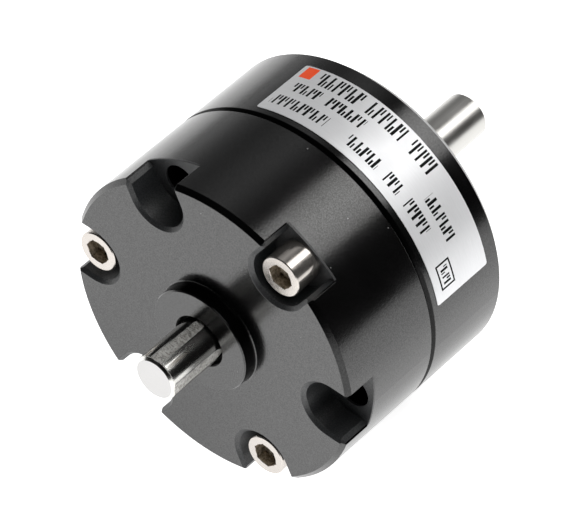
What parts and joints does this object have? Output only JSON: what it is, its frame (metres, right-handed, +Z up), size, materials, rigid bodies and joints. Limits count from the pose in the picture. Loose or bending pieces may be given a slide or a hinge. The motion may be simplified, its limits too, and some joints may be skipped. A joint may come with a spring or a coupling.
{
  "type": "rotary pneumatic actuator",
  "caption": "Compact single-vane pneumatic rotary actuator: round two-part body, double-ended shaft turning through three quarters of a turn.",
  "frame": {"origin": "centre of the mounting face, on the shaft axis", "axes": "+Y along the shaft, out of the mounting face towards the long output shaft; +Z up with the actuator lying on its side; the short shaft with flats points along -Y"},
  "size_m": [0.042, 0.0589, 0.0421],
  "materials": {
    "black_body": "semi-gloss black paint over aluminium alloy",
    "stainless_screw": "polished stainless steel",
    "ground_steel": "ground and polished steel, milled flats",
    "label_foil": "satin silver foil with printed marks",
    "bearing_ball": "polished",
    "bearing_cage": "pressed steel",
    "bearing_steel": "ground bearing steel",
    "resin": "moulded resin",
    "backup_resin": "white bearing resin",
    "nitrile": "moulded nitrile rubber"
  },
  "bodies": {
    "housing": {"body_o_ring": "nitrile", "body_screw_1": "stainless_screw", "body_screw_2": "stainless_screw", "body_screw_3": "stainless_screw", "front_backup_ring": "backup_resin", "front_bearing_outer_ring": "bearing_steel", "front_body": "black_body", "front_shaft_seal": "nitrile", "name_label": "label_foil", "rear_backup_ring": "backup_resin", "rear_bearing_outer_ring": "bearing_steel", "rear_body": "black_body", "rear_shaft_seal": "nitrile", "stopper": "resin", "stopper_seal": "nitrile"},
    "rotor": {"vane_shaft": "ground_steel", "vane_core": "resin", "vane_seal": "nitrile", "front_bearing_inner_ring": "bearing_steel", "rear_bearing_inner_ring": "bearing_steel"},
    "front_ball_set": {"front_bearing_ball_1": "bearing_ball", "front_bearing_ball_2": "bearing_ball", "front_bearing_ball_3": "bearing_ball", "front_bearing_ball_4": "bearing_ball", "front_bearing_ball_5": "bearing_ball", "front_bearing_ball_6": "bearing_ball", "front_bearing_ball_7": "bearing_ball", "front_bearing_ball_8": "bearing_ball", "front_bearing_cage": "bearing_cage"},
    "rear_ball_set": {"rear_bearing_ball_1": "bearing_ball", "rear_bearing_ball_2": "bearing_ball", "rear_bearing_ball_3": "bearing_ball", "rear_bearing_ball_4": "bearing_ball", "rear_bearing_ball_5": "bearing_ball", "rear_bearing_ball_6": "bearing_ball", "rear_bearing_ball_7": "bearing_ball", "rear_bearing_ball_8": "bearing_ball", "rear_bearing_cage": "bearing_cage"}
  },
  "joints": [
    {"name": "shaft_turn", "type": "hinge", "parent": "housing", "child": "rotor", "pos_m": [0, 0, 0], "axis": [0, 1, 0], "range_deg": [-103, 167]},
    {"name": "front_bearing_turn", "type": "hinge", "parent": "housing", "child": "front_ball_set", "pos_m": [0, -0.0279, 0], "axis": [0, 1, 0], "range_deg": [-43, 69]},
    {"name": "rear_bearing_turn", "type": "hinge", "parent": "housing", "child": "rear_ball_set", "pos_m": [0, -0.0011, 0], "axis": [0, 1, 0], "range_deg": [-43, 69]}
  ],
  "couplings": [
    {"joint": "front_bearing_turn", "follows": "shaft_turn", "ratio": 0.4122},
    {"joint": "rear_bearing_turn", "follows": "shaft_turn", "ratio": 0.4122}
  ]
}
